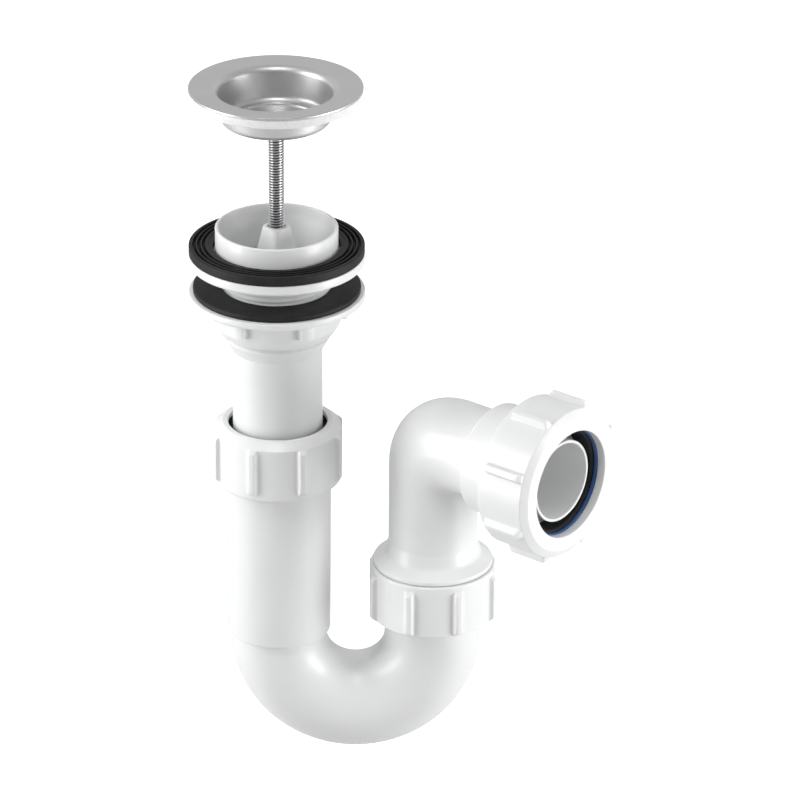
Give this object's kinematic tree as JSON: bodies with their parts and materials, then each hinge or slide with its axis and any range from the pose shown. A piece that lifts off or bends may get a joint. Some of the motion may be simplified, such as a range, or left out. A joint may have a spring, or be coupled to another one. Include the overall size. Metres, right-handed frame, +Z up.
{
  "type": "tubular swivel trap with sink waste",
  "caption": "Tubular swivel P trap with a flanged sink waste on a centre screw, telescopic inlet, swivel bend and compression outlet.",
  "frame": {"origin": "on the waste's axis, level with the top of the ridged washer that meets the sink's underside", "axes": "+Z up along the waste's axis, +X towards the outlet leg of the bend, -Y towards the side that the outlet points to"},
  "size_m": [0.1728, 0.104, 0.2951],
  "materials": {
    "flange_steel": "satin pressed stainless steel",
    "foam": "closed-cell foam",
    "screw_steel": "bright machined stainless steel",
    "nut_brass": "plain brass",
    "black_rubber": "matt black rubber",
    "white_plastic": "glossy white polypropylene",
    "grey_slip": "smooth dark plastic",
    "blue_slip": "smooth blue plastic"
  },
  "bodies": {
    "waste": {"waste_body": "white_plastic", "ridged_washer": "black_rubber", "pin_nut": "nut_brass"},
    "flange": {"waste_flange": "flange_steel", "foam_washer": "foam"},
    "screw": {"centre_pin": "screw_steel"},
    "neck_washer": {"backnut_washer": "black_rubber"},
    "neck_nut": {"backnut": "white_plastic"},
    "inlet_ring": {"inlet_seal": "black_rubber"},
    "trap": {"trap_leg": "white_plastic", "u_bend": "white_plastic"},
    "inlet_slip": {"inlet_slip_ring": "grey_slip"},
    "inlet_collar": {"inlet_nut": "white_plastic"},
    "swivel_collar": {"swivel_nut": "white_plastic"},
    "swivel_seal": {"swivel_washer": "black_rubber"},
    "elbow": {"outlet_elbow": "white_plastic", "outlet_seal": "black_rubber"},
    "outlet_slip": {"outlet_slip_ring": "blue_slip"},
    "outlet_collar": {"outlet_nut": "white_plastic"}
  },
  "joints": [
    {"name": "flange_lift", "type": "slide", "parent": "waste", "child": "flange", "axis": [0, 0, 1], "range_m": [-0.042, 0.003]},
    {"name": "pin_turn", "type": "hinge", "parent": "flange", "child": "screw", "pos_m": [0, 0, 0.0517], "axis": [0, 0, 1], "range_deg": [-13147.83, 939.13]},
    {"name": "backnut_travel", "type": "slide", "parent": "waste", "child": "neck_washer", "axis": [0, 0, 1], "range_m": [-0.006, 0.0097]},
    {"name": "backnut_turn", "type": "hinge", "parent": "neck_washer", "child": "neck_nut", "pos_m": [0, 0, -0.0203], "axis": [0, 0, 1], "range_deg": [-935.47, 1512.34]},
    {"name": "tail_telescope", "type": "slide", "parent": "waste", "child": "inlet_ring", "axis": [0, 0, 1], "range_m": [-0.03, 0.022]},
    {"name": "trap_turn", "type": "hinge", "parent": "inlet_ring", "child": "trap", "pos_m": [0, 0, -0.0855], "axis": [0, 0, 1], "continuous": true},
    {"name": "inlet_nut_travel", "type": "slide", "parent": "trap", "child": "inlet_slip", "axis": [0, 0, 1], "range_m": [0, 0.01]},
    {"name": "inlet_nut_turn", "type": "hinge", "parent": "inlet_slip", "child": "inlet_collar", "pos_m": [0, 0, -0.0905], "axis": [0, 0, 1], "range_deg": [0, 1200]},
    {"name": "swivel_nut_turn", "type": "hinge", "parent": "trap", "child": "swivel_collar", "pos_m": [0.064, 0, -0.155], "axis": [0, 0, 1], "range_deg": [-1200, 0]},
    {"name": "elbow_lift", "type": "slide", "parent": "trap", "child": "swivel_seal", "axis": [0, 0, 1], "range_m": [0, 0.01]},
    {"name": "outlet_swivel", "type": "hinge", "parent": "swivel_seal", "child": "elbow", "pos_m": [0.064, 0, -0.16], "axis": [0, 0, 1], "range_deg": [-75, 155]},
    {"name": "outlet_nut_travel", "type": "slide", "parent": "elbow", "child": "outlet_slip", "axis": [0.766, -0.6428, 0], "range_m": [0, 0.012]},
    {"name": "outlet_nut_turn", "type": "hinge", "parent": "outlet_slip", "child": "outlet_collar", "pos_m": [0.10996, -0.03857, -0.086], "axis": [0.766, -0.6428, 0], "range_deg": [0, 1440]}
  ],
  "couplings": [
    {"joint": "pin_turn", "follows": "flange_lift", "rad_per_m": 5463.6},
    {"joint": "backnut_travel", "follows": "backnut_turn", "m_per_rad": 0.00036749},
    {"joint": "inlet_nut_travel", "follows": "inlet_nut_turn", "m_per_rad": 0.00047746},
    {"joint": "swivel_nut_turn", "follows": "elbow_lift", "rad_per_m": -2094.4},
    {"joint": "outlet_nut_travel", "follows": "outlet_nut_turn", "m_per_rad": 0.00047746}
  ]
}
